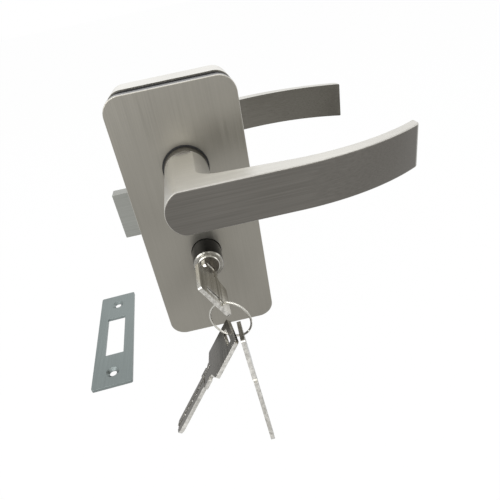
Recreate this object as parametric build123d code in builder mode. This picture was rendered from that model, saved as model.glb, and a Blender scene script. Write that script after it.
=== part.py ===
from build123d import *
import math
import os

os.makedirs("parts", exist_ok=True)

# Lever lock for a frameless glass door. The outside half and the inside half clamp the glass.
# X runs from the bolt to the lever tips, Y runs through the door from outside to inside, Z is up.
# The origin is the middle of the lock on the outside face of the glass.

# Glass and gaskets
glass_thickness = 10.0
gasket_thickness = 0.5
gasket_inset = 0.8

# Cover plates
plate_width = 70.0
plate_height = 158.6
plate_corner = 9.8
cover_wall = 1.5
outside_depth = 5.4
inside_depth = 21.1
outside_edge_round = 0.5
inside_edge_round = 1.4
fit_gap = 0.25
shaft_gap = 0.05

# Axes of the spindle and of the lock cylinder, measured down from the top of the plate
spindle_below_top = 44.0
axis_spacing = 55.0

# Levers
lever_reach = 57.8
lever_tip_x = 112.4
lever_height = 21.5
lever_straight = 48.7
lever_bend_radius = 113.4
lever_root_thickness = 14.0
lever_mid_thickness = 9.0
lever_tip_thickness = 6.3
lever_tip_round = 4.6
lever_waist = 0.5
lever_edge_round = 0.7
neck_radius = 12.0
neck_fillet = 7.0
collar_length = 7.5
collar_step = 0.2
lever_corner_round = 5.0
bush_wall = 0.85
bush_recess = 0.3
lever_turn_limit = 45.0

# Spindle and grub screws
spindle_size = 8.0
spindle_grip = 22.0
grub_diameter = 6.0
grub_length = 6.0
grub_offset = 12.5

# Clamp screws and sleeves through the glass
clamp_from_side = 17.0
clamp_from_end = 11.3
clamp_screw_diameter = 5.0
clamp_head_diameter = 9.0
clamp_head_height = 3.0
clamp_sleeve_diameter = 8.0

# Lock case
case_floor = 2.0
case_wall = 1.5
lid_thickness = 1.5
lid_post_from_side = 6.2
lid_post_from_end = 15.3
lid_post_diameter = 6.5
lid_screw_diameter = 3.0
lid_screw_head = 5.6
lid_screw_length = 7.0
cover_screw_radius = 1.2

# Bolt, carriage and follower
bolt_height = 30.0
bolt_thickness = 8.0
bolt_reach = 14.2
bolt_travel = 13.4
bolt_below_spindle = 30.3
bolt_tail_x = 2.0
bolt_edge = 0.5
bolt_notch_depth = 7.0
notch_play = 0.5
mechanism_plate = 3.0
carriage_bar = 6.0
carriage_bar_x = 12.0
carriage_beam = 10.0
carriage_beam_rise = 8.0
carriage_tongue = 7.0
carriage_head = 11.0
carriage_head_left = 8.0
carriage_rim = 2.2
carriage_pin_radius = 1.5
follower_radius = 10.0
follower_journal = 7.9
arm_radius = 19.0
arm_width = 4.0
arm_tip_radius = 3.0
arm_play = 0.7
guide_wall = 1.6
guide_length = 5.0

# Return spring of the follower, which stands on the left arm of the follower
spring_arm_length = 18.0
spring_arm_width = 5.0
spring_x = 14.0
spring_radius = 2.6
spring_wire = 0.8
spring_turns = 8
spring_length = 20.0
spring_pin_radius = 1.6
spring_pin_length = 5.0
spring_ledge = 2.6

# Lock cylinder, plug, cam and thumbturn
cylinder_radius = 9.0
cylinder_reach = 15.5
cylinder_chamfer = 0.8
cylinder_back_reach = 2.0
plug_radius = 6.7
plug_reach = 1.2
plug_chamfer = 0.6
cam_width = 3.0
cam_disc_radius = 6.5
cam_reach = 13.0
cam_tip_radius = 2.0
cam_play = 0.35
turn_disc_radius = 11.0
turn_disc_thickness = 3.0
turn_wing_length = 24.0
turn_wing_width = 6.5
turn_wing_depth = 13.0
cylinder_screw_diameter = 4.0
wafer_count = 6
wafer_pitch = 4.6
wafer_thickness = 1.0
wafer_width = 5.0
wafer_length = 12.0
wafer_start = 5.0

# Locking slide
slide_width = 8.8
slide_length = 20.0
slide_limit = 30.0
slide_rest_gap = 0.6
slide_edge_gap = 2.2
slide_rib = 2.8
slide_lip = 2.5
slide_lip_thickness = 1.5

# Keys
key_bow_width = 25.0
key_bow_length = 23.7
key_bow_corner = 1.5
key_thickness = 2.3
key_neck_length = 11.5
key_neck_width = 11.5
key_shoulder_rise = 2.0
key_blade_width = 8.6
key_blade_length = 33.0
key_blade_side = 4.4
key_notch = 2.6
key_notch_depth = 1.3
key_groove_width = 2.6
key_groove_depth = 0.5
key_dimple_count = 5
key_dimple_radius = 1.0
key_dimple_depth = 0.3
key_slot_length = 14.0
key_slot_width = 3.6
key_slot_inset = 3.2
key_slot_corner = 0.8
key_pocket_depth = 0.4
keyway_gap = 0.1
key_roll = 62.0

# Key ring and the two keys that hang on it
ring_radius = 11.6
ring_wire = 1.5
ring_slack = 0.75
ring_lean = 17.5
ring_yaw = 25.0
left_key_ring_angle = 21.0
right_key_ring_angle = 24.0
left_key_splay = 38.2
right_key_splay = -4.0
left_key_lean = -15.4
right_key_lean = -17.2
left_key_twist = -7.0
right_key_twist = 0.0
hang_side = 4.6

# Strike plate, lying beside the lock with its face up
strike_length = 92.0
strike_width = 25.0
strike_thickness = 2.0
strike_corner = 1.2
strike_opening_length = 38.0
strike_opening_width = 12.4
strike_hole_spacing = 69.6
strike_hole_diameter = 4.5
strike_sink_diameter = 8.4
strike_sink_depth = 1.3
strike_x = -74.8
strike_y = 0.7
strike_face_z = -72.7
strike_turn = 2.9

# Planes through the door, worked out from the sizes above
outside_back = -gasket_thickness
outside_front = outside_back - outside_depth
inside_front = glass_thickness + gasket_thickness
inside_back = inside_front + inside_depth
case_inner_y = inside_front + case_floor
lid_back = inside_back - cover_wall - fit_gap
lid_front = lid_back - lid_thickness
middle_y = (inside_front + inside_back) / 2
spindle_z = plate_height / 2 - spindle_below_top
cylinder_z = spindle_z - axis_spacing
bolt_z = spindle_z - bolt_below_spindle
carriage_beam_z = bolt_z + carriage_beam_rise
clamp_x = plate_width / 2 - clamp_from_side
clamp_z = plate_height / 2 - clamp_from_end
lid_post_x = plate_width / 2 - lid_post_from_side
lid_post_z = plate_height / 2 - lid_post_from_end
clamp_hole_radius = clamp_sleeve_diameter / 2 + fit_gap
clamp_points = [(side * clamp_x, end * clamp_z) for side in (-1, 1) for end in (-1, 1)]
lid_points = [(side * lid_post_x, end * lid_post_z) for side in (-1, 1) for end in (-1, 1)]
case_inset = cover_wall + fit_gap
case_half_width = plate_width / 2 - case_inset
case_inner_x = case_half_width - case_wall
bush_radius = neck_radius + shaft_gap + bush_wall
neck_hole_radius = bush_radius + shaft_gap
cylinder_hole_radius = cylinder_radius + fit_gap
journal_hole_radius = follower_journal + shaft_gap
base_inset = cover_wall + fit_gap
base_thickness = outside_depth - cover_wall - fit_gap
plate_front = middle_y - mechanism_plate / 2
plate_back = middle_y + mechanism_plate / 2
bolt_bottom_z = bolt_z - bolt_height / 2
bolt_top_z = bolt_z + bolt_height / 2
cylinder_screw_y = case_inner_y + cylinder_screw_diameter / 2 + fit_gap
slide_right_x = -(cylinder_radius + slide_edge_gap)
slide_left_x = slide_right_x - slide_width
slide_middle_x = (slide_left_x + slide_right_x) / 2
slide_top_z = bolt_bottom_z - slide_rest_gap
slide_bottom_z = slide_top_z - slide_length
slide_travel = cam_reach * math.sin(math.radians(slide_limit))
spring_bottom_z = spindle_z + spring_arm_width / 2 + shaft_gap
spring_top_z = spring_bottom_z + spring_length


def across(y):
    """Sketch plane square to Y at y, with local axes X and Z. Negative extrusions run to +Y."""
    return Plane.XZ.offset(-y)


def finish(builder, name):
    """Label a finished piece and write it to its own file."""
    builder.part.label = name
    export_step(builder.part, "parts/" + name + ".step")


# Outside cover: pressed stainless tray that hides the screws of the outside half
with BuildPart() as outside_cover:
    with BuildSketch(across(outside_front)):
        RectangleRounded(plate_width, plate_height, plate_corner)
    extrude(amount=-outside_depth)
    fillet(outside_cover.faces().sort_by(Axis.Y)[0].edges(), outside_edge_round)
    with BuildSketch(across(outside_front + cover_wall)):
        RectangleRounded(plate_width - 2 * cover_wall, plate_height - 2 * cover_wall, plate_corner - cover_wall)
    extrude(amount=-outside_depth, mode=Mode.SUBTRACT)
    with BuildSketch(across(outside_front)):
        with Locations((0, spindle_z)):
            Circle(neck_hole_radius)
        with Locations((0, cylinder_z)):
            Circle(cylinder_hole_radius)
    extrude(amount=-outside_depth, mode=Mode.SUBTRACT)
    with Locations((0, outside_back - base_thickness / 2, -plate_height / 2)):
        Cylinder(cover_screw_radius + shaft_gap, 4 * cover_wall, mode=Mode.SUBTRACT)
finish(outside_cover, "outside_cover")

# Outside base plate: carries the outside lever and takes the threads of the clamp screws
with BuildPart() as outside_base_plate:
    with BuildSketch(across(outside_back - base_thickness)):
        RectangleRounded(plate_width - 2 * base_inset, plate_height - 2 * base_inset, plate_corner - base_inset)
        with Locations((0, spindle_z)):
            Circle(neck_hole_radius, mode=Mode.SUBTRACT)
        with Locations((0, cylinder_z)):
            Circle(cylinder_hole_radius, mode=Mode.SUBTRACT)
        with Locations(*clamp_points):
            Circle(clamp_screw_diameter / 2 + shaft_gap, mode=Mode.SUBTRACT)
    extrude(amount=-base_thickness)
    with Locations((0, outside_back - base_thickness / 2, -plate_height / 2 + base_inset)):
        Cylinder(cover_screw_radius + shaft_gap, 4 * cover_wall, mode=Mode.SUBTRACT)
finish(outside_base_plate, "outside_base_plate")


def build_gasket(front):
    """Thin rubber sheet that lies between the glass and one half of the lock."""
    with BuildPart() as gasket:
        with BuildSketch(across(front)):
            RectangleRounded(
                plate_width - 2 * gasket_inset, plate_height - 2 * gasket_inset, plate_corner - gasket_inset
            )
            with Locations((0, spindle_z)):
                Circle(neck_hole_radius, mode=Mode.SUBTRACT)
            with Locations((0, cylinder_z)):
                Circle(cylinder_hole_radius, mode=Mode.SUBTRACT)
            with Locations(*clamp_points):
                Circle(clamp_hole_radius, mode=Mode.SUBTRACT)
        extrude(amount=-gasket_thickness)
    return gasket


outside_gasket = build_gasket(outside_back)
finish(outside_gasket, "outside_gasket")
inside_gasket = build_gasket(glass_thickness)
finish(inside_gasket, "inside_gasket")

# Clamp sleeves: nylon tubes that keep the screws off the edges of the holes in glass and gaskets
with BuildPart() as clamp_sleeves:
    with BuildSketch(across(outside_back)):
        with Locations(*clamp_points):
            Circle(clamp_sleeve_diameter / 2)
            Circle(clamp_screw_diameter / 2 + fit_gap, mode=Mode.SUBTRACT)
    extrude(amount=-(inside_front - outside_back))
finish(clamp_sleeves, "clamp_sleeves")

# Clamp screws: their heads sit in the lock case and their threads end in the outside base plate
with BuildPart() as clamp_screws:
    with BuildSketch(across(outside_back - base_thickness + fit_gap)):
        with Locations(*clamp_points):
            Circle(clamp_screw_diameter / 2)
    extrude(amount=-(case_inner_y - outside_back + base_thickness - fit_gap))
    with BuildSketch(across(case_inner_y)):
        with Locations(*clamp_points):
            Circle(clamp_head_diameter / 2)
    extrude(amount=-clamp_head_height)
    with BuildSketch(across(case_inner_y + clamp_head_height / 2)):
        with Locations(*clamp_points):
            RegularPolygon(clamp_screw_diameter / 2 - shaft_gap, 6)
    extrude(amount=-clamp_head_height, mode=Mode.SUBTRACT)
    clamp_rims = clamp_screws.faces().filter_by(Axis.Y).group_by(Axis.Y)[-1].edges().filter_by(GeomType.CIRCLE)
    chamfer(clamp_rims, clamp_head_height / 8)
finish(clamp_screws, "clamp_screws")

# Inside cover: deep stainless shell, open on the side of the glass
with BuildPart() as inside_cover:
    with BuildSketch(across(inside_front)):
        RectangleRounded(plate_width, plate_height, plate_corner)
    extrude(amount=-inside_depth)
    fillet(inside_cover.faces().sort_by(Axis.Y)[-1].edges(), inside_edge_round)
    with BuildSketch(across(inside_front)):
        RectangleRounded(plate_width - 2 * cover_wall, plate_height - 2 * cover_wall, plate_corner - cover_wall)
    extrude(amount=-(inside_depth - cover_wall), mode=Mode.SUBTRACT)
    with BuildSketch(across(inside_back - cover_wall)):
        with Locations((0, spindle_z)):
            Circle(neck_hole_radius)
        with Locations((0, cylinder_z)):
            Circle(cylinder_hole_radius)
    extrude(amount=-cover_wall, mode=Mode.SUBTRACT)
    with Locations((-plate_width / 2, middle_y, bolt_z)):
        Box(4 * cover_wall, bolt_thickness + 2 * fit_gap, bolt_height + 2 * fit_gap, mode=Mode.SUBTRACT)
    with Locations(Location((-plate_width / 2, cylinder_screw_y, cylinder_z), (0, 90, 0))):
        Cylinder(cylinder_screw_diameter / 2 + fit_gap, 4 * cover_wall, mode=Mode.SUBTRACT)
    with Locations((0, middle_y, -plate_height / 2)):
        Cylinder(cover_screw_radius + shaft_gap, 4 * cover_wall, mode=Mode.SUBTRACT)
finish(inside_cover, "inside_cover")

# Lock case: steel tray inside the inside cover, which carries the whole mechanism
rib_top_z = slide_top_z - 2 * slide_rest_gap
rib_bottom_z = slide_bottom_z - slide_travel
rib_front = cylinder_screw_y + cylinder_screw_diameter / 2 + fit_gap
pad_top_z = cylinder_z - cylinder_screw_diameter
with BuildPart() as lock_case:
    with BuildSketch(across(inside_front)):
        RectangleRounded(plate_width - 2 * case_inset, plate_height - 2 * case_inset, plate_corner - case_inset)
    extrude(amount=-(lid_front - inside_front))
    with BuildSketch(across(case_inner_y)):
        RectangleRounded(
            2 * case_inner_x, plate_height - 2 * (case_inset + case_wall), plate_corner - case_inset - case_wall
        )
    extrude(amount=-(lid_front - case_inner_y), mode=Mode.SUBTRACT)
    # Four posts under the corners of the lid
    with BuildSketch(across(case_inner_y)):
        with Locations(*lid_points):
            Circle(lid_post_diameter / 2)
    extrude(amount=-(lid_front - case_inner_y))
    # Rib, lip and pad that guide the locking slide
    with Locations((slide_left_x - shaft_gap - slide_rib / 2, 0, (rib_top_z + rib_bottom_z) / 2)):
        with Locations((0, (rib_front + lid_front) / 2, 0)):
            Box(slide_rib, lid_front - rib_front, rib_top_z - rib_bottom_z)
        with Locations((slide_lip / 2, plate_back + shaft_gap + slide_lip_thickness / 2, 0)):
            Box(slide_rib + slide_lip, slide_lip_thickness, rib_top_z - rib_bottom_z)
    with BuildSketch(across(case_inner_y)):
        with Locations((slide_middle_x - slide_rib / 2, (pad_top_z + rib_bottom_z) / 2)):
            Rectangle(slide_width + slide_rib, pad_top_z - rib_bottom_z)
    extrude(amount=-(plate_front - shaft_gap - case_inner_y))
    # Ledge above the return spring, and the stop under the left arm of the follower
    with BuildSketch(across(case_inner_y)):
        with Locations((-spring_x, spring_top_z + spring_ledge / 2)):
            Rectangle(4 * spring_radius, spring_ledge)
        with Locations((-spring_x, spindle_z - spring_arm_width / 2 - shaft_gap - spring_ledge)):
            Rectangle(2 * spring_radius, 2 * spring_ledge)
    extrude(amount=-(middle_y + spring_radius + spring_wire - case_inner_y))
    with Locations((-spring_x, middle_y, spring_top_z - spring_pin_length / 2 + shaft_gap)):
        Cylinder(spring_pin_radius, spring_pin_length + 2 * shaft_gap)
    # Holes for the follower, the cylinder, the clamp screws and the lid screws
    with BuildSketch(across(inside_front)):
        with Locations((0, spindle_z)):
            Circle(journal_hole_radius)
        with Locations((0, cylinder_z)):
            Circle(cylinder_hole_radius)
        with Locations(*clamp_points):
            Circle(clamp_screw_diameter / 2 + fit_gap)
    extrude(amount=-case_floor, mode=Mode.SUBTRACT)
    with BuildSketch(across(lid_front)):
        with Locations(*lid_points):
            Circle(lid_screw_diameter / 2 + shaft_gap)
    extrude(amount=lid_screw_length, mode=Mode.SUBTRACT)
    # Openings in the walls for the bolt, the cylinder screw and the cover screw
    with Locations((-case_half_width, middle_y, bolt_z)):
        Box(4 * case_wall, bolt_thickness + 2 * fit_gap, bolt_height + 2 * fit_gap, mode=Mode.SUBTRACT)
    with Locations(Location((-case_half_width, cylinder_screw_y, cylinder_z), (0, 90, 0))):
        Cylinder(cylinder_screw_diameter / 2 + fit_gap, 4 * case_wall, mode=Mode.SUBTRACT)
    with Locations((0, middle_y, -plate_height / 2 + case_inset)):
        Cylinder(cover_screw_radius + shaft_gap, 4 * case_wall, mode=Mode.SUBTRACT)
finish(lock_case, "lock_case")

# Case lid: flat steel plate on four posts, with countersunk screws
with BuildPart() as case_lid:
    with BuildSketch(across(lid_front)):
        RectangleRounded(plate_width - 2 * case_inset, plate_height - 2 * case_inset, plate_corner - case_inset)
        with Locations((0, spindle_z)):
            Circle(journal_hole_radius, mode=Mode.SUBTRACT)
        with Locations((0, cylinder_z)):
            Circle(cylinder_hole_radius, mode=Mode.SUBTRACT)
        with Locations(*lid_points):
            Circle(lid_screw_diameter / 2 + shaft_gap, mode=Mode.SUBTRACT)
    extrude(amount=-lid_thickness)
    lid_rims = case_lid.faces().sort_by(Axis.Y)[-1].edges().filter_by(GeomType.CIRCLE)
    lid_sinks = [rim for rim in lid_rims if rim.radius < lid_screw_diameter]
    chamfer(lid_sinks, (lid_screw_head - lid_screw_diameter) / 2 - shaft_gap)
finish(case_lid, "case_lid")

# Lid screws: four countersunk screws
sink_depth = (lid_screw_head - lid_screw_diameter) / 2
with BuildPart() as lid_screws:
    with BuildSketch(across(lid_back)):
        with Locations(*lid_points):
            Circle(lid_screw_diameter / 2)
    extrude(amount=lid_screw_length)
    with BuildSketch(across(lid_back - sink_depth)) as lid_screw_roots:
        with Locations(*lid_points):
            Circle(lid_screw_diameter / 2)
    extrude(amount=-sink_depth, taper=-44)
    with BuildSketch(across(lid_back)):
        with Locations(*lid_points):
            RegularPolygon(lid_screw_diameter / 3, 6)
    extrude(amount=1.0, mode=Mode.SUBTRACT)
finish(lid_screws, "lid_screws")


def build_bush(front, back):
    """Black nylon ring in which the neck of one lever turns."""
    with BuildPart() as bush:
        with BuildSketch(across(front)):
            with Locations((0, spindle_z)):
                Circle(bush_radius)
                Circle(neck_radius + shaft_gap, mode=Mode.SUBTRACT)
        extrude(amount=-(back - front))
    return bush


outside_bush = build_bush(outside_front + bush_recess, outside_back)
finish(outside_bush, "outside_bush")
inside_bush = build_bush(lid_back, inside_back - bush_recess)
finish(inside_bush, "inside_bush")

# Bend of the lever bar: the outer face leaves the straight line on a large arc
tip_run = lever_tip_x - lever_straight
tip_drop = lever_bend_radius - math.sqrt(lever_bend_radius**2 - tip_run**2)
half_run = tip_run / 2
half_drop = lever_bend_radius - math.sqrt(lever_bend_radius**2 - half_run**2)
half_thickness = (lever_mid_thickness + lever_tip_thickness) / 2 - lever_waist


def build_lever(face_y, outward, neck_end):
    """One lever, with its neck, its collar and the square hole for the spindle.

    face_y is the face of the cover, outward is -1 or 1, and neck_end is where the neck stops inside.
    """

    def stand(distance):
        """Place along Y at a distance from the face of the cover."""
        return face_y + outward * distance

    neck_length = abs(stand(lever_reach) - neck_end)
    half_height = lever_height / 2
    end_radius = neck_radius - collar_step
    corner_x = math.sqrt(end_radius**2 - half_height**2)
    with BuildPart() as lever:
        with BuildSketch(Plane.XY.offset(spindle_z - neck_radius)):
            with BuildLine():
                outer = Line((-neck_radius, stand(lever_reach)), (lever_straight, stand(lever_reach)))
                bend = ThreePointArc(
                    outer @ 1,
                    (lever_straight + half_run, stand(lever_reach - half_drop)),
                    (lever_tip_x, stand(lever_reach - tip_drop)),
                )
                tip = Line(bend @ 1, (lever_tip_x, stand(lever_reach - tip_drop - lever_tip_thickness)))
                inner = ThreePointArc(
                    tip @ 1,
                    (lever_straight + half_run, stand(lever_reach - half_drop - half_thickness)),
                    (lever_straight, stand(lever_reach - lever_mid_thickness)),
                )
                root = Line(inner @ 1, (0, stand(lever_reach - lever_root_thickness)))
                Polyline(root @ 1, (-neck_radius, stand(lever_reach - lever_root_thickness)), outer @ 0)
            make_face()
        extrude(amount=2 * neck_radius)
        with BuildSketch(across(neck_end)):
            with Locations((0, spindle_z)):
                Circle(neck_radius)
        extrude(amount=-outward * neck_length)
        with BuildSketch(across(stand(lever_reach))):
            with BuildLine():
                top = Line((lever_tip_x, spindle_z + half_height), (-corner_x, spindle_z + half_height))
                end = ThreePointArc(top @ 1, (-end_radius, spindle_z), (-corner_x, spindle_z - half_height))
                Polyline(end @ 1, (lever_tip_x, spindle_z - half_height), top @ 0)
            make_face()
            fillet(vertices().group_by(Axis.X)[0], lever_corner_round)
        extrude(amount=outward * neck_length, mode=Mode.INTERSECT)
        with BuildSketch(across(neck_end)):
            with Locations((0, spindle_z)):
                Circle(neck_radius)
        extrude(amount=-outward * (neck_length - lever_reach + collar_length))
        fillet(lever.edges().filter_by(GeomType.ELLIPSE), neck_fillet)
        tip_corners = lever.edges().filter_by(Axis.Z).group_by(Axis.X)[-1].sort_by(Axis.Y)
        fillet(tip_corners[-1 if outward > 0 else 0], lever_tip_round)
        outer_face = lever.faces().filter_by(Axis.Y).sort_by(Axis.Y)[-1 if outward > 0 else 0]
        fillet(outer_face.edges(), lever_edge_round)
        with BuildSketch(across(neck_end)):
            with Locations((0, spindle_z)):
                Rectangle(spindle_size + 2 * shaft_gap, spindle_size + 2 * shaft_gap)
        extrude(amount=-outward * (spindle_grip + neck_length - lever_reach + fit_gap), mode=Mode.SUBTRACT)
        with Locations((0, stand(grub_offset), spindle_z - neck_radius / 2)):
            Cylinder(grub_diameter / 2 + shaft_gap, neck_radius, mode=Mode.SUBTRACT)
    return lever


outside_lever = build_lever(outside_front, -1, outside_back - fit_gap)
finish(outside_lever, "outside_lever")
inside_lever = build_lever(inside_back, 1, lid_back + shaft_gap)
finish(inside_lever, "inside_lever")

# Spindle: square steel bar that joins both levers through the follower
spindle_front = outside_front - spindle_grip
spindle_back = inside_back + spindle_grip
with BuildPart() as spindle:
    with BuildSketch(across(spindle_front)):
        with Locations((0, spindle_z)):
            Rectangle(spindle_size, spindle_size)
    extrude(amount=-(spindle_back - spindle_front))
    chamfer(spindle.faces().sort_by(Axis.Y)[0].edges(), spindle_size / 12)
    chamfer(spindle.faces().sort_by(Axis.Y)[-1].edges(), spindle_size / 12)
finish(spindle, "spindle")

# Grub screws: one in the underside of each neck, pressed on the spindle
with BuildPart() as grub_screws:
    grub_top_z = spindle_z - spindle_size / 2 - shaft_gap
    grub_socket = grub_diameter / 4
    for grub_y in (outside_front - grub_offset, inside_back + grub_offset):
        with Locations((0, grub_y, grub_top_z - grub_length / 2)):
            Cylinder(grub_diameter / 2, grub_length)
        with BuildSketch(Plane.XY.offset(grub_top_z - grub_length)):
            with Locations((0, grub_y)):
                RegularPolygon(grub_socket, 6)
        extrude(amount=grub_length / 2, mode=Mode.SUBTRACT)
finish(grub_screws, "grub_screws")

# Follower: hub on the spindle, with one arm up to the carriage and one arm under the return spring
with BuildPart() as follower:
    with BuildSketch(across(inside_front)):
        with Locations((0, spindle_z)):
            Circle(follower_journal)
    extrude(amount=-(lid_back - inside_front))
    with BuildSketch(across(case_inner_y + shaft_gap)):
        with Locations((0, spindle_z)):
            Circle(follower_radius)
    extrude(amount=-(lid_front - case_inner_y - 2 * shaft_gap))
    with BuildSketch(across(plate_front)):
        with Locations((0, spindle_z)):
            with Locations((0, arm_radius / 2)):
                Rectangle(arm_width, arm_radius)
            with Locations((0, arm_radius)):
                Circle(arm_tip_radius)
            with Locations((-spring_arm_length / 2, 0)):
                Rectangle(spring_arm_length, spring_arm_width)
    extrude(amount=-mechanism_plate)
    with BuildSketch(across(inside_front)):
        with Locations((0, spindle_z)):
            Rectangle(spindle_size + 2 * shaft_gap, spindle_size + 2 * shaft_gap)
    extrude(amount=-(lid_back - inside_front), mode=Mode.SUBTRACT)
finish(follower, "follower")

# Return spring: coil between the left arm of the follower and the ledge of the case
coil_rise = spring_length - spring_wire
coil_start_z = spring_bottom_z + spring_wire / 2
with BuildPart() as return_spring:
    with BuildLine():
        coil = Helix(coil_rise / spring_turns, coil_rise, spring_radius, center=(-spring_x, middle_y, coil_start_z))
    with BuildSketch(Plane(origin=coil @ 0, z_dir=coil % 0)):
        Circle(spring_wire / 2)
    sweep()
finish(return_spring, "return_spring")

# Latch bolt: square nosed steel bar with two notches underneath for the locking slide
nose_x = -plate_width / 2 - bolt_reach
notch_left_x = slide_left_x - notch_play
notch_right_x = slide_right_x + notch_play
with BuildPart() as latch_bolt:
    with Locations(((nose_x + bolt_tail_x) / 2, middle_y, bolt_z)):
        Box(bolt_tail_x - nose_x, bolt_thickness, bolt_height)
    fillet(latch_bolt.faces().sort_by(Axis.X)[0].edges(), bolt_edge)
    for shift in (0, -bolt_travel):
        notch_middle_x = (notch_left_x + notch_right_x) / 2 + shift
        with Locations((notch_middle_x, middle_y, bolt_bottom_z + bolt_notch_depth / 2)):
            Box(notch_right_x - notch_left_x, bolt_thickness, bolt_notch_depth, mode=Mode.SUBTRACT)
    with Locations((bolt_tail_x - carriage_tongue / 2, middle_y, carriage_beam_z)):
        Box(
            carriage_tongue + 2 * shaft_gap,
            mechanism_plate + 2 * shaft_gap,
            carriage_beam + 2 * shaft_gap,
            mode=Mode.SUBTRACT,
        )
    pin_x = bolt_tail_x - carriage_tongue / 2
    with Locations(Location((pin_x, middle_y, carriage_beam_z), (90, 0, 0))):
        Cylinder(carriage_pin_radius + shaft_gap, bolt_thickness, mode=Mode.SUBTRACT)
finish(latch_bolt, "latch_bolt")

# Bolt carriage: flat steel frame that joins the bolt to the arm of the follower
bar_right_x = carriage_bar_x + carriage_bar
slot_top_z = spindle_z + arm_radius + arm_tip_radius + arm_play
head_top_z = slot_top_z + carriage_rim
head_bottom_z = head_top_z - carriage_head
with BuildPart() as bolt_carriage:
    with BuildSketch(across(plate_front)):
        beam_left_x = bolt_tail_x - carriage_tongue
        with Locations(((beam_left_x + bar_right_x) / 2, carriage_beam_z)):
            Rectangle(bar_right_x - beam_left_x, carriage_beam)
        beam_bottom_z = carriage_beam_z - carriage_beam / 2
        with Locations((carriage_bar_x + carriage_bar / 2, (beam_bottom_z + head_top_z) / 2)):
            Rectangle(carriage_bar, head_top_z - beam_bottom_z)
        with Locations(((bar_right_x - carriage_head_left) / 2, (head_bottom_z + head_top_z) / 2)):
            Rectangle(bar_right_x + carriage_head_left, carriage_head)
        with Locations((0, (head_bottom_z + slot_top_z) / 2)):
            Rectangle(2 * (arm_tip_radius + arm_play), slot_top_z - head_bottom_z, mode=Mode.SUBTRACT)
        with Locations((pin_x, carriage_beam_z)):
            Circle(carriage_pin_radius + shaft_gap, mode=Mode.SUBTRACT)
    extrude(amount=-mechanism_plate)
finish(bolt_carriage, "bolt_carriage")

# Carriage pin: short pin that holds the carriage in the tail of the bolt
with BuildPart() as carriage_pin:
    with Locations(Location((pin_x, middle_y, carriage_beam_z), (90, 0, 0))):
        Cylinder(carriage_pin_radius, bolt_thickness)
    chamfer(carriage_pin.edges().filter_by(GeomType.CIRCLE), carriage_pin_radius / 6)
finish(carriage_pin, "carriage_pin")

# Bolt guide: brass frame behind the side wall of the case, in which the bolt slides
with BuildPart() as bolt_guide:
    with Locations((-case_inner_x + guide_length / 2, middle_y, bolt_z)):
        Box(
            guide_length,
            bolt_thickness + 2 * (fit_gap + guide_wall),
            bolt_height + 2 * (fit_gap + guide_wall),
        )
        Box(
            guide_length,
            bolt_thickness + 4 * shaft_gap,
            bolt_height + 4 * shaft_gap,
            mode=Mode.SUBTRACT,
        )
finish(bolt_guide, "bolt_guide")

# Locking slide: steel plate that the cam lifts into a notch of the bolt
with BuildPart() as locking_slide:
    with BuildSketch(across(plate_front)):
        with Locations((slide_middle_x, (slide_top_z + slide_bottom_z) / 2)):
            Rectangle(slide_width, slide_length)
        cam_slot_depth = cam_reach + cam_tip_radius + cam_play + slide_right_x
        with Locations((slide_right_x - cam_slot_depth / 2, cylinder_z)):
            Rectangle(cam_slot_depth, 2 * (cam_tip_radius + cam_play), mode=Mode.SUBTRACT)
    extrude(amount=-mechanism_plate)
finish(locking_slide, "locking_slide")

# Lock cylinder: round brass body that stands out of the outside cover, open at the cam
cylinder_front = outside_front - cylinder_reach
cylinder_back = inside_back + cylinder_back_reach
plug_front = cylinder_front - plug_reach
with BuildPart() as cylinder_body:
    with BuildSketch(across(cylinder_front)):
        with Locations((0, cylinder_z)):
            Circle(cylinder_radius)
            Circle(plug_radius + shaft_gap, mode=Mode.SUBTRACT)
    extrude(amount=-(cylinder_back - cylinder_front))
    body_rims = cylinder_body.edges().filter_by(GeomType.CIRCLE)
    outer_rims = [rim for rim in body_rims if rim.radius > cylinder_radius - shaft_gap]
    chamfer(outer_rims, cylinder_chamfer)
    with Locations((-cylinder_radius, middle_y, cylinder_z)):
        Box(
            2 * cylinder_radius,
            mechanism_plate + 2 * fit_gap,
            2 * cylinder_radius,
            mode=Mode.SUBTRACT,
        )
    screw_seat = cylinder_radius - plug_radius - 3 * fit_gap
    with Locations(Location((-cylinder_radius, cylinder_screw_y, cylinder_z), (0, 90, 0))):
        Cylinder(cylinder_screw_diameter / 2 + shaft_gap, 2 * screw_seat, mode=Mode.SUBTRACT)
finish(cylinder_body, "cylinder_body")

# Cylinder screw: long screw from the bolt side that holds the cylinder body in place
with BuildPart() as cylinder_screw:
    screw_left_x = -plate_width / 2 + fit_gap
    screw_right_x = -cylinder_radius + screw_seat - shaft_gap
    with BuildSketch(Plane.YZ.offset(screw_left_x)):
        with Locations((cylinder_screw_y, cylinder_z)):
            Circle(cylinder_screw_diameter / 2)
    extrude(amount=screw_right_x - screw_left_x)
    with BuildSketch(Plane.YZ.offset(screw_left_x)):
        with Locations((cylinder_screw_y, cylinder_z)):
            RegularPolygon(cylinder_screw_diameter / 3, 6)
    extrude(amount=cylinder_screw_diameter / 2, mode=Mode.SUBTRACT)
finish(cylinder_screw, "cylinder_screw")

# Cover screws: small screws in the undersides of both covers
with BuildPart() as cover_screws:
    screw_bottom_z = -plate_height / 2 + fit_gap
    screw_seats = (
        (outside_back - base_thickness / 2, base_inset + cover_wall),
        (middle_y, case_inset + case_wall),
    )
    for screw_y, screw_length in screw_seats:
        with BuildSketch(Plane.XY.offset(screw_bottom_z)):
            with Locations((0, screw_y)):
                Circle(cover_screw_radius)
        extrude(amount=screw_length)
        with BuildSketch(Plane.XY.offset(screw_bottom_z)):
            with Locations((0, screw_y)):
                RegularPolygon(cover_screw_radius / 2, 6)
        extrude(amount=cover_screw_radius, mode=Mode.SUBTRACT)
finish(cover_screws, "cover_screws")

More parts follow.
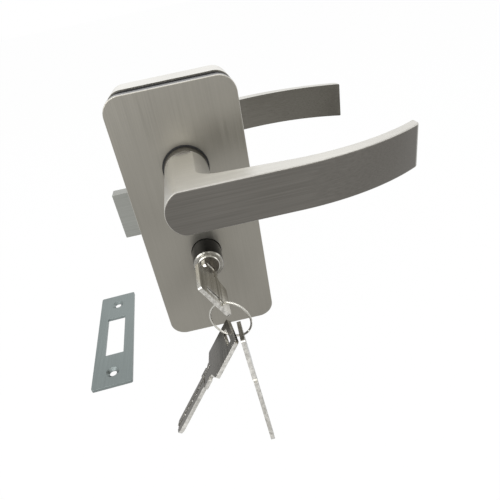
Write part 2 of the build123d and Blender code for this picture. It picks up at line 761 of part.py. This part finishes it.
# Directions of the key in the plug: its width, and the normal of its face
roll = math.radians(key_roll)
key_width_dir = (math.cos(roll), 0, -math.sin(roll))
key_normal = (math.sin(roll), 0, math.cos(roll))
keyway_middle = key_blade_width / 2 - key_blade_side
inserted_plane = Plane(origin=(0, plug_front, cylinder_z), x_dir=key_width_dir, z_dir=key_normal)
plug_plane = Plane(origin=(0, plug_front, cylinder_z), x_dir=key_width_dir, z_dir=(0, -1, 0))
wafer_steps = [wafer_start + wafer_pitch * step for step in range(wafer_count)]

# Cylinder plug: turns in the body, with a proud bright face and the keyway
with BuildPart() as cylinder_plug:
    with BuildSketch(plug_plane):
        Circle(plug_radius)
    extrude(amount=-(plate_front - shaft_gap - plug_front))
    chamfer(cylinder_plug.faces().sort_by(Axis.Y)[0].edges(), plug_chamfer)
    with BuildSketch(plug_plane):
        with Locations((keyway_middle, 0)):
            Rectangle(key_blade_width + 2 * keyway_gap, key_thickness + 2 * keyway_gap)
    extrude(amount=-(key_blade_length + fit_gap), mode=Mode.SUBTRACT)
    for step in wafer_steps:
        with BuildSketch(plug_plane.offset(-step)):
            Rectangle(wafer_length + 2 * shaft_gap, wafer_width + 2 * shaft_gap)
        extrude(amount=-(wafer_thickness + 2 * shaft_gap), mode=Mode.SUBTRACT)
finish(cylinder_plug, "cylinder_plug")

# Wafers: thin brass plates across the plug, with a window for the blade
with BuildPart() as wafers:
    for step in wafer_steps:
        with BuildSketch(plug_plane.offset(-step - shaft_gap)):
            Rectangle(wafer_length, wafer_width)
            with Locations((keyway_middle, 0)):
                Rectangle(
                    key_blade_width + 2 * keyway_gap, key_thickness + 2 * keyway_gap, mode=Mode.SUBTRACT
                )
        extrude(amount=-wafer_thickness)
finish(wafers, "wafers")

# Cam: turns with the plug, and its nub moves the locking slide
with BuildPart() as cylinder_cam:
    with BuildSketch(across(plate_front)):
        with Locations((0, cylinder_z)):
            Circle(cam_disc_radius)
            with Locations((-cam_reach / 2, 0)):
                Rectangle(cam_reach, cam_width)
            with Locations((-cam_reach, 0)):
                Circle(cam_tip_radius)
    extrude(amount=-mechanism_plate)
finish(cylinder_cam, "cylinder_cam")

# Thumbturn: knob on the inside that turns the cam without a key
turn_plane = Plane(origin=(0, cylinder_back + fit_gap, cylinder_z), x_dir=key_width_dir, z_dir=(0, -1, 0))
with BuildPart() as thumbturn:
    with BuildSketch(turn_plane):
        Circle(plug_radius)
    extrude(amount=cylinder_back + fit_gap - plate_back - shaft_gap)
    with BuildSketch(turn_plane):
        Circle(turn_disc_radius)
    extrude(amount=-turn_disc_thickness)
    chamfer(thumbturn.faces().sort_by(Axis.Y)[-1].edges(), turn_disc_thickness / 4)
    with BuildSketch(turn_plane.offset(-turn_disc_thickness)):
        SlotOverall(turn_wing_length, turn_wing_width)
    extrude(amount=-turn_wing_depth)
    wing_top = thumbturn.faces().sort_by(Axis.Y)[-1]
    fillet(wing_top.edges(), turn_wing_width / 6)
finish(thumbturn, "thumbturn")

# Outline of a key: local X is across the blade, local Y points from the bow to the tip
bow_start = -key_neck_length - key_bow_length
slot_middle = bow_start + key_slot_inset + key_slot_width / 2


def build_key(key_plane):
    """One nickel plated key whose shoulder lies at the origin of key_plane."""
    half_neck = key_neck_width / 2
    half_shoulder = key_bow_width / 2 - key_bow_corner
    blade_low = -key_blade_side
    blade_high = key_blade_width - key_blade_side
    notch = key_notch
    notch_start = -key_neck_length + key_shoulder_rise + key_notch_depth
    dimple_steps = [key_blade_length * (step + 1) / (key_dimple_count + 2) for step in range(key_dimple_count)]
    with BuildPart() as key:
        with BuildSketch(key_plane):
            with Locations((0, bow_start + key_bow_length / 2)):
                RectangleRounded(key_bow_width, key_bow_length, key_bow_corner)
            with BuildLine():
                Polyline(
                    (-half_shoulder, -key_neck_length),
                    (-half_neck, -key_neck_length + key_shoulder_rise),
                    (half_neck, -key_neck_length + key_shoulder_rise),
                    (half_shoulder, -key_neck_length),
                    close=True,
                )
            make_face()
            with Locations((0, -key_neck_length / 2 - notch / 2)):
                Rectangle(key_neck_width, key_neck_length + notch)
            with BuildLine():
                Polyline(
                    (blade_low, -notch),
                    (blade_low, key_blade_length - notch),
                    (blade_low + notch, key_blade_length),
                    (blade_high - notch / 2, key_blade_length),
                    (blade_high, key_blade_length - notch),
                    (blade_high, -notch),
                    close=True,
                )
            make_face()
            for side in (-1, 1):
                with BuildLine():
                    Polyline(
                        (side * half_neck, notch_start),
                        (side * (half_neck - key_notch_depth), notch_start + notch / 2),
                        (side * half_neck, notch_start + notch),
                        close=True,
                    )
                make_face(mode=Mode.SUBTRACT)
            with Locations((0, slot_middle)):
                RectangleRounded(key_slot_length, key_slot_width, key_slot_corner, mode=Mode.SUBTRACT)
        extrude(amount=key_thickness / 2, both=True)
        for side in (-1, 1):
            face_plane = key_plane.offset(side * key_thickness / 2)
            with BuildSketch(face_plane):
                with Locations((keyway_middle + side * key_groove_width / 3, key_blade_length / 2)):
                    Rectangle(key_groove_width, key_blade_length)
            extrude(amount=-side * key_groove_depth, mode=Mode.SUBTRACT)
            with BuildSketch(face_plane.offset(-side * key_groove_depth)):
                with Locations(*[(keyway_middle + side * key_groove_width / 3, y) for y in dimple_steps]):
                    Circle(key_dimple_radius)
            extrude(amount=-side * key_dimple_depth, mode=Mode.SUBTRACT)
            with BuildSketch(face_plane):
                with Locations((0, -key_neck_length / 2)):
                    Rectangle(key_neck_width - 4 * key_notch_depth, key_neck_length - notch)
            extrude(amount=-side * key_pocket_depth, mode=Mode.SUBTRACT)
    return key


inserted_key = build_key(inserted_plane)
finish(inserted_key, "inserted_key")

# Key ring: hangs in the lower end of the slot of the key in the plug, turned a little about Z
seat_along = key_slot_length / 2 - ring_wire / 2 - ring_slack
ring_top = Vector(seat_along * math.cos(roll), plug_front + slot_middle, cylinder_z - seat_along * math.sin(roll))
ring_side = Vector(1, 0, 0).rotate(Axis.Z, -ring_yaw)
ring_shift = ring_radius * math.sin(math.radians(ring_lean))
ring_middle = ring_top + ring_side * ring_shift - Vector(0, 0, ring_radius * math.cos(math.radians(ring_lean)))
ring_plane = Plane(origin=ring_middle, x_dir=ring_side, z_dir=ring_side.cross(Vector(0, 0, 1)))
with BuildPart(ring_plane) as key_ring:
    Torus(ring_radius, ring_wire / 2)
finish(key_ring, "key_ring")


def ring_contact(ring_angle):
    """Point on the ring at an angle from its lowest point."""
    turn = math.radians(ring_angle)
    return ring_middle + ring_side * (ring_radius * math.sin(turn)) - Vector(0, 0, ring_radius * math.cos(turn))


def hanging_plane(ring_angle, splay, lean, twist):
    """Plane of a key whose slot hangs on the ring, at an angle from the lowest point of the ring."""
    swing = math.radians(splay)
    tip = Vector(-math.sin(swing), 0, -math.cos(swing)).rotate(Axis.X, lean)
    across_key = Vector(0, -1, 0).rotate(Axis.X, lean).rotate(Axis((0, 0, 0), tip), twist)
    origin = ring_contact(ring_angle) + across_key * hang_side - tip * slot_middle
    return Plane(origin=origin, x_dir=across_key, z_dir=across_key.cross(tip))


left_plane = hanging_plane(-left_key_ring_angle, left_key_splay, left_key_lean, left_key_twist)
left_hanging_key = build_key(left_plane)
finish(left_hanging_key, "left_hanging_key")
right_plane = hanging_plane(right_key_ring_angle, right_key_splay, right_key_lean, right_key_twist)
right_hanging_key = build_key(right_plane)
finish(right_hanging_key, "right_hanging_key")

# Strike plate: goes on the frame or on the other door leaf, and here lies beside the lock
turn = math.radians(strike_turn)
strike_plane = Plane(
    origin=(strike_x, strike_y, strike_face_z), x_dir=(math.cos(turn), math.sin(turn), 0), z_dir=(0, 0, 1)
)
with BuildPart() as strike_plate:
    with BuildSketch(strike_plane):
        RectangleRounded(strike_width, strike_length, strike_corner)
        Rectangle(strike_opening_width, strike_opening_length, mode=Mode.SUBTRACT)
        with Locations((0, strike_hole_spacing / 2), (0, -strike_hole_spacing / 2)):
            Circle(strike_hole_diameter / 2, mode=Mode.SUBTRACT)
    extrude(amount=-strike_thickness)
    strike_rims = strike_plate.faces().sort_by(Axis.Z)[-1].edges().filter_by(GeomType.CIRCLE)
    screw_rims = [rim for rim in strike_rims if abs(rim.radius - strike_hole_diameter / 2) < shaft_gap]
    chamfer(screw_rims, strike_sink_depth, (strike_sink_diameter - strike_hole_diameter) / 2)
finish(strike_plate, "strike_plate")
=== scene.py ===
import math

import bpy
from mathutils import Matrix, Vector


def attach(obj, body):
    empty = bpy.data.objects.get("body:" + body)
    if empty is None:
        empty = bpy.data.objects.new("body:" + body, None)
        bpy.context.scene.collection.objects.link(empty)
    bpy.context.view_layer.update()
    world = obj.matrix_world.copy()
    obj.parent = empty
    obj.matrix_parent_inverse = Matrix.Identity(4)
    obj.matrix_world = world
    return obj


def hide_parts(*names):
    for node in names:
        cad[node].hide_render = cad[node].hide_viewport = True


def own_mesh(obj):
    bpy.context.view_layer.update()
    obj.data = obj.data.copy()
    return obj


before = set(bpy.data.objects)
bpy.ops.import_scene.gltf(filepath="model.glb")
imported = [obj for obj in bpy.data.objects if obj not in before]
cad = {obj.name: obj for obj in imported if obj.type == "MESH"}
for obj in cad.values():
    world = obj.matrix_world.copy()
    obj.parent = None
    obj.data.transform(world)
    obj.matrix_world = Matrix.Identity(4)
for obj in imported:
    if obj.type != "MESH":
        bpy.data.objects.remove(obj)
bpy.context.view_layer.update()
bpy.ops.object.select_all(action="DESELECT")

# The camera stands above and in front of the lock, turned a little, as the photograph was taken.
# Its place, lens and shift come from the fit to the photograph that also gave the sizes.
camera_data = bpy.data.cameras.new("photo_camera")
camera_data.sensor_width = 36.0
camera_data.lens = 30.657
camera_data.shift_x = 0.0395
camera_data.shift_y = -0.0056
camera_data.clip_start = 0.01
camera_data.clip_end = 200.0
camera = bpy.data.objects.new("photo_camera", camera_data)
bpy.context.scene.collection.objects.link(camera)
camera.location = (0.00897, -0.23172, 0.11451)
camera.rotation_euler = tuple(math.radians(angle) for angle in (58.621, 10.139, -7.614))
bpy.context.scene.camera = camera
bpy.context.scene.view_settings.view_transform = "Standard"


# Studio: a sweep of white paper far below the lock and a pale room, with large soft lamps.
# Paper and room stay white to the camera and in the metal, and the paper keeps a faint shadow.
def colour(code):
    """An sRGB hex colour as the linear numbers that a shader takes."""
    channels = [int(code[place:place + 2], 16) / 255 for place in (0, 2, 4)]
    linear = [c / 12.92 if c <= 0.04045 else ((c + 0.055) / 1.055) ** 2.4 for c in channels]
    return (*linear, 1.0)


def add(material, kind, settings=None, links=None):
    """One more node in a material: its settings by name, and its inputs as sockets of other nodes."""
    node = material.node_tree.nodes.new(kind)
    for name, value in (settings or {}).items():
        if isinstance(name, str) and hasattr(node, name):
            setattr(node, name, value)
        else:
            node.inputs[name].default_value = value
    for name, socket in (links or {}).items():
        material.node_tree.links.new(socket, node.inputs[name])
    return node


def seen_white(material):
    """1 where the camera, a gloss or a clear body looks at it, and 0 for the light it gives."""
    path = add(material, "ShaderNodeLightPath")
    straight = add(
        material, "ShaderNodeMath", {"operation": "MAXIMUM"},
        {0: path.outputs["Is Camera Ray"], 1: path.outputs["Is Glossy Ray"]},
    )
    every = add(
        material, "ShaderNodeMath", {"operation": "MAXIMUM"},
        {0: straight.outputs[0], 1: path.outputs["Is Transmission Ray"]},
    )
    return every.outputs[0]


paper_glow = 0.98
floor_size = 60.0
floor_height = -0.135
floor_paper = bpy.data.materials.new("white_paper")
floor_paper.use_nodes = True
floor_paper.node_tree.nodes.clear()
paper = add(floor_paper, "ShaderNodeBsdfDiffuse", {"Color": colour("fcfcfc")})
glow = add(floor_paper, "ShaderNodeEmission", {"Color": colour("ffffff"), "Strength": 1.0})
share = add(
    floor_paper, "ShaderNodeMath", {"operation": "MULTIPLY", 1: paper_glow}, {0: seen_white(floor_paper)}
)
mixed = add(
    floor_paper, "ShaderNodeMixShader",
    links={"Fac": share.outputs[0], 1: paper.outputs[0], 2: glow.outputs[0]},
)
add(floor_paper, "ShaderNodeOutputMaterial", links={"Surface": mixed.outputs[0]})
bpy.ops.mesh.primitive_plane_add(size=floor_size, location=(0.0, 0.0, floor_height))
floor = bpy.context.object
floor.name = "studio_floor"
floor.data.materials.append(floor_paper)

world = bpy.data.worlds.new("pale_room")
world.use_nodes = True
world.node_tree.nodes.clear()
bpy.context.scene.world = world
room_light = add(world, "ShaderNodeBackground", {"Color": colour("eef1f4"), "Strength": 0.6})
room_white = add(world, "ShaderNodeBackground", {"Color": colour("ffffff"), "Strength": 1.0})
room_mix = add(
    world, "ShaderNodeMixShader",
    links={"Fac": seen_white(world), 1: room_light.outputs[0], 2: room_white.outputs[0]},
)
add(world, "ShaderNodeOutputWorld", links={"Surface": room_mix.outputs[0]})

# Each lamp: its name, its place, its size in metres and its power in watts. All point at the lock.
lamps = (
    ("back_top_box", (0.10, 0.75, 0.60), 1.0, 1.0),
    ("front_left_box", (-0.70, -0.70, 0.55), 0.8, 9.0),
    ("front_top_box", (0.10, -0.80, 0.75), 0.8, 6.0),
    ("right_box", (0.95, -0.35, 0.35), 0.7, 2.0),
)
for lamp_name, lamp_place, lamp_size, lamp_power in lamps:
    lamp_data = bpy.data.lights.new(lamp_name, "AREA")
    lamp_data.size = lamp_size
    lamp_data.energy = lamp_power
    lamp = bpy.data.objects.new(lamp_name, lamp_data)
    lamp.location = lamp_place
    lamp.rotation_euler = Vector(lamp_place).to_track_quat("Z", "Y").to_euler()
    lamp.visible_camera = False
    bpy.context.scene.collection.objects.link(lamp)


# Cover plates: stainless steel sheet, pressed and then brushed from top to bottom with a belt.
# The belt leaves fine straight scratches, a satin sheen and slow changes of tone. The broad faces carry
# painted shade, so the folded rims stay bright as a painted highlight. At the door the back of the
# outside rim is painted black, for the black seal there and for the shade in the gap between the covers.
def brushed_steel(
    name, tone, dark, along, scratch_mm, rough, depth_mm,
    facing=None, face_tone=None, both_sides=True, cloud_share=0.3, behind_mm=None, behind_tone=None
):
    """Brushed metal between two tones, with scratches along an axis, scratch_mm apart and depth_mm deep.

    facing is the normal of the broad faces where these have a tone of their own, face_tone: painted shade
    on the covers, levers and loose keys, and painted light on the key in the lock.
    What lies deeper than behind_mm, towards the door, has another tone, behind_tone: painted black for the
    seal and gap shade on the outside cover, painted shade on the outside lever's collar, a painted
    highlight on the plug's edge, and near black on the cylinder body.
    """
    scratch_stretch = 90.0
    cloud_scale = 22.0
    edge_radius = 0.00025
    noise_low, noise_high = 0.3, 0.7
    smoother, rougher = 0.05, 0.07
    material = bpy.data.materials.new(name)
    material.use_nodes = True
    material.node_tree.nodes.clear()
    place = add(material, "ShaderNodeTexCoord").outputs["Object"]
    across = 1000.0 / scratch_mm
    scale = [across / scratch_stretch if axis == along else across for axis in "XYZ"]
    streaks = add(material, "ShaderNodeMapping", {"Scale": scale}, {"Vector": place})
    fine = add(
        material, "ShaderNodeTexNoise", {"Scale": 1.0, "Detail": 3.0, "Roughness": 0.65},
        {"Vector": streaks.outputs["Vector"]},
    )
    # Patches of about 45 mm, where the belt pressed harder or softer.
    cloud = add(
        material, "ShaderNodeTexNoise", {"Scale": cloud_scale, "Detail": 1.0, "Roughness": 0.4},
        {"Vector": place},
    )
    blend = add(
        material, "ShaderNodeMix", {0: cloud_share}, {2: fine.outputs["Fac"], 3: cloud.outputs["Fac"]}
    )
    # Most of a noise lies between its low and its high, so that span is spread over the two tones.
    shade = add(
        material, "ShaderNodeMapRange", {"From Min": noise_low, "From Max": noise_high},
        {"Value": blend.outputs[0]},
    )
    skin = add(
        material, "ShaderNodeMix", {"data_type": "RGBA", 6: colour(dark), 7: colour(tone)},
        {0: shade.outputs["Result"]},
    )
    skin_colour = skin.outputs[2]
    rounded = add(material, "ShaderNodeBevel", {"samples": 4, "Radius": edge_radius})
    if facing:
        face_normal = add(material, "ShaderNodeNewGeometry").outputs["Normal"]
        turned = add(
            material, "ShaderNodeVectorMath", {"operation": "DOT_PRODUCT", 1: facing}, {0: face_normal}
        )
        towards = turned.outputs["Value"]
        if both_sides:
            towards = add(material, "ShaderNodeMath", {"operation": "ABSOLUTE"}, {0: towards}).outputs[0]
        # The painted light and shade of the broad faces fades out where the surface turns away from their
        # normal.
        broad = add(
            material, "ShaderNodeMapRange", {"From Min": 0.55, "From Max": 0.85}, {"Value": towards}
        )
        face_shade = add(
            material, "ShaderNodeMix",
            {"data_type": "RGBA", "blend_type": "MULTIPLY", 0: 1.0, 7: colour(face_tone)},
            {6: skin_colour},
        )
        faced = add(
            material, "ShaderNodeMix", {"data_type": "RGBA"},
            {0: broad.outputs["Result"], 6: skin_colour, 7: face_shade.outputs[2]},
        )
        skin_colour = faced.outputs[2]
    # Deeper parts take their own tone, which on most parts is painted shade or a painted highlight.
    if behind_mm:
        depth = add(material, "ShaderNodeSeparateXYZ", links={"Vector": place}).outputs["Y"]
        deeper = add(
            material, "ShaderNodeMath", {"operation": "GREATER_THAN", 1: behind_mm / 1000.0}, {0: depth}
        )
        two_tone = add(
            material, "ShaderNodeMix", {"data_type": "RGBA", 7: colour(behind_tone)},
            {0: deeper.outputs[0], 6: skin_colour},
        )
        skin_colour = two_tone.outputs[2]
    sheen = add(
        material, "ShaderNodeMapRange",
        {
            "From Min": noise_low, "From Max": noise_high,
            "To Min": rough - smoother, "To Max": rough + rougher,
        },
        {"Value": fine.outputs["Fac"]},
    )
    bump = add(
        material, "ShaderNodeBump", {"Strength": 0.4, "Distance": depth_mm / 1000.0},
        {"Height": fine.outputs["Fac"], "Normal": rounded.outputs["Normal"]},
    )
    surface = add(
        material, "ShaderNodeBsdfPrincipled", {"Metallic": 1.0},
        {"Base Color": skin_colour, "Roughness": sheen.outputs["Result"], "Normal": bump.outputs["Normal"]},
    )
    add(material, "ShaderNodeOutputMaterial", links={"Surface": surface.outputs["BSDF"]})
    return material


def dress(material, *names):
    """Give CAD nodes one material."""
    for name in names:
        cad[name].data.materials.clear()
        cad[name].data.materials.append(material)


# Here and on the other metals the scratches are drawn 0.4 to 1.6 mm apart. The real ones are finer
# and wouldn't show in the render.
# Behind this depth the outside cover is painted black, for its black seal and for the shade in the gap.
seal_and_gap_shade_depth = -4.8
across_the_door = (0.0, 1.0, 0.0)
# The broad faces of the covers carry painted shade, and their rims stay bright as a painted highlight.
cover_steel = brushed_steel(
    "stainless_cover_painted_face_shade", "d8d6d0", "c4c2bc", "Z", 0.5, 0.34, 0.012, across_the_door, "adaba6",
    cloud_share=0.6
)
dress(cover_steel, "inside_cover", "thumbturn")
outside_cover_steel = brushed_steel(
    "stainless_painted_seal_and_gap_shade", "d8d6d0", "c4c2bc", "Z", 0.5, 0.34, 0.012, across_the_door, "adaba6",
    cloud_share=0.6, behind_mm=seal_and_gap_shade_depth, behind_tone="060606"
)
dress(outside_cover_steel, "outside_cover")

# Levers: cast stainless bars, ground along their length with a coarse belt. Their broad faces carry painted
# shade, so edges and necks stay paler. The outside lever's back has none, and its collar at the cover is
# painted darker as shade.
# Behind this depth the outside lever's collar is painted darker as shade.
collar_shade_front = -13.4
to_the_front = (0.0, -1.0, 0.0)
outside_lever_steel = brushed_steel(
    "stainless_lever_painted_front_and_collar_shade", "d4d2cc", "b8b6b0", "X", 0.5, 0.38, 0.012, to_the_front, "848280",
    both_sides=False, behind_mm=collar_shade_front, behind_tone="57544d"
)
dress(outside_lever_steel, "outside_lever")
inside_lever_steel = brushed_steel(
    "stainless_lever_painted_face_shade", "cbc9c3", "acaaa3", "X", 0.5, 0.32, 0.012, to_the_front, "908e8a"
)
dress(inside_lever_steel, "inside_lever")

# Bolt: square bar of steel, ground on all sides. Strike plate: stainless sheet, cut and brushed,
# with a colder tone. Both show fine straight scratches.
bolt_steel = brushed_steel("ground_steel", "9b9c97", "83847f", "X", 0.5, 0.34, 0.015)
dress(bolt_steel, "latch_bolt")
strike_steel = brushed_steel("stainless_sheet", "868e8d", "767d7c", "Y", 0.4, 0.34, 0.015)
dress(strike_steel, "strike_plate")

# Working parts behind the covers: zinc plated steel, dull and a little blue. The small pins and the
# grub screws are of hard steel with a black oxide finish.
zinc = brushed_steel("zinc_plated_steel", "b4b8bb", "9aa0a5", "Y", 0.8, 0.38, 0.01)
dress(
    zinc, "outside_base_plate", "lock_case", "case_lid", "lid_screws", "clamp_screws", "cover_screws",
    "cylinder_screw", "spindle", "follower", "bolt_carriage", "locking_slide", "cylinder_cam",
)
black_steel = brushed_steel("black_oxide_steel", "35353a", "1f1f23", "Y", 0.6, 0.42, 0.01)
dress(black_steel, "grub_screws", "carriage_pin")

# Lock cylinder: a brass body, near black behind its front rim and pale on the rim. The plug in it is
# nickel plated, with a dull front face, and its edge behind the face is painted pale as a highlight.
# Wafers and bolt guide are plain brass.
body_rim_back = -20.7
plug_edge_highlight_from = -22.55
cylinder_body_metal = brushed_steel(
    "cylinder_black_behind_rim", "9c9a94", "84827c", "Y", 0.6, 0.16, 0.004,
    behind_mm=body_rim_back, behind_tone="040404"
)
dress(cylinder_body_metal, "cylinder_body")
# The plug's edge and keyway behind its front face are painted pale as a highlight.
plug_nickel = brushed_steel(
    "nickel_plate_painted_edge_highlight", "6a6660", "55524d", "Y", 0.6, 0.20, 0.006,
    behind_mm=plug_edge_highlight_from, behind_tone="b0aea7"
)
dress(plug_nickel, "cylinder_plug")
brass = brushed_steel("machined_brass", "c9a45c", "a98543", "Y", 0.6, 0.30, 0.01)
dress(brass, "wafers", "bolt_guide")

# Keys: stamped from brass sheet and nickel plated. Their faces carry painted light on the key in the lock
# and painted shade on the two loose keys, whose cut edges stay bright.
# Each row: key, the normal of its faces, their painted tone.
key_faces = (
    ("inserted_key", (0.883, 0.0, 0.469), "fcfaf5"),
    ("left_hanging_key", (0.780, -0.045, -0.624), "6e6b66"),
    ("right_hanging_key", (0.998, 0.021, 0.067), "7a7772"),
)
for key_name, key_facing, key_painted_tone in key_faces:
    key_nickel = brushed_steel(
        key_name + "_nickel", "e2e0da", "94928c", "Y", 1.6, 0.2, 0.02, key_facing, key_painted_tone
    )
    dress(key_nickel, key_name)


# Key ring: flat spring wire wound almost twice round on itself and nickel plated.
# The two turns lie side by side, so a key can be slid in between them.
def wound_wire(name, wire_sides, wire_radius, wire_flatness, turn_radius, turns, rise, steps, shift):
    """Wire wound round Z and then moved by shift. wire_flatness is its thickness along Z by its width."""
    bpy.ops.object.select_all(action="DESELECT")
    bpy.ops.mesh.primitive_circle_add(
        vertices=wire_sides, radius=wire_radius, location=(turn_radius, 0.0, 0.0),
        rotation=(math.radians(90.0), 0.0, 0.0),
    )
    wire = bpy.context.object
    wire.name = name
    wire.scale = (1.0, wire_flatness, 1.0)
    bpy.ops.object.transform_apply(location=True, rotation=True, scale=True)
    winding = wire.modifiers.new("winding", "SCREW")
    winding.axis = "Z"
    winding.angle = math.radians(360.0 * turns)
    winding.screw_offset = rise
    winding.steps = steps
    winding.render_steps = steps
    winding.use_smooth_shade = True
    bpy.ops.object.modifier_apply(modifier="winding")
    bpy.ops.object.mode_set(mode="EDIT")
    bpy.ops.mesh.select_all(action="SELECT")
    bpy.ops.mesh.fill_holes(sides=0)
    bpy.ops.mesh.select_all(action="SELECT")
    bpy.ops.mesh.normals_make_consistent(inside=False)
    bpy.ops.transform.translate(value=shift)
    bpy.ops.object.mode_set(mode="OBJECT")
    return wire


upwards = Vector((0.0, 0.0, 1.0))
ring_centre = Vector((0.005743, -0.054274, -0.035619))
ring_side = Vector((0.906308, -0.422618, 0.0))
ring_turns = 1.9
wire_pitch = 0.0005
split_ring = wound_wire(
    "split_ring", wire_sides=16, wire_radius=0.00055, wire_flatness=0.45, turn_radius=0.0116,
    turns=ring_turns, rise=wire_pitch * ring_turns, steps=180,
    shift=(0.0, 0.0, -wire_pitch * ring_turns / 2),
)
split_ring.matrix_world = Matrix.Translation(ring_centre) @ Matrix(
    (ring_side, upwards, ring_side.cross(upwards))
).transposed().to_4x4()
bpy.ops.object.transform_apply(location=True, rotation=True, scale=True)
nickel = brushed_steel("nickel_plate", "c9c7c0", "aeaca5", "Y", 0.6, 0.20, 0.006)
split_ring.data.materials.append(nickel)
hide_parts("key_ring")
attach(split_ring, "ring")

# Return spring: hard steel wire coiled eight times, with a black oxide finish. It stands between the
# follower's arm and the case.
spring_length = 0.020
spring_wire = 0.0008
spring_coils = 8
spring_top = (-0.014, 0.02105, 0.05785)
spring_foot = (spring_top[0], spring_top[1], spring_top[2] - spring_length + spring_wire / 2)
coil_spring = wound_wire(
    "coil_spring", wire_sides=12, wire_radius=spring_wire / 2, wire_flatness=1.0, turn_radius=0.0026,
    turns=spring_coils, rise=spring_length - spring_wire, steps=40 * spring_coils, shift=spring_foot,
)
coil_spring.data.materials.append(black_steel)
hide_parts("return_spring")
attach(coil_spring, "lock_body")
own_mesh(coil_spring)


# Gaskets, bushes and sleeves: the gaskets are moulded from black rubber, dull and a little grainy.
# The bushes of the levers and the sleeves in the glass are moulded nylon, smoother and glossier.
def moulded(name, tone, rough, grain_mm, depth_mm):
    """Moulded rubber or nylon with an even grain, drawn coarser than the real one so that it shows."""
    sheen_span = 0.08
    material = bpy.data.materials.new(name)
    material.use_nodes = True
    material.node_tree.nodes.clear()
    place = add(material, "ShaderNodeTexCoord").outputs["Object"]
    grain = add(
        material, "ShaderNodeTexNoise", {"Scale": 1000.0 / grain_mm, "Detail": 2.0}, {"Vector": place}
    )
    bump = add(
        material, "ShaderNodeBump", {"Strength": 0.4, "Distance": depth_mm / 1000.0},
        {"Height": grain.outputs["Fac"]},
    )
    sheen = add(
        material, "ShaderNodeMapRange", {"To Min": rough - sheen_span, "To Max": rough + sheen_span},
        {"Value": grain.outputs["Fac"]},
    )
    surface = add(
        material, "ShaderNodeBsdfPrincipled", {"Base Color": colour(tone), "IOR": 1.5},
        {"Roughness": sheen.outputs["Result"], "Normal": bump.outputs["Normal"]},
    )
    add(material, "ShaderNodeOutputMaterial", links={"Surface": surface.outputs["BSDF"]})
    return material


rubber = moulded("black_rubber", "0e0e0f", 0.62, 0.5, 0.03)
dress(rubber, "outside_gasket", "inside_gasket")
nylon = moulded("black_nylon", "1c1c1d", 0.45, 0.6, 0.02)
dress(nylon, "outside_bush", "inside_bush", "clamp_sleeves")
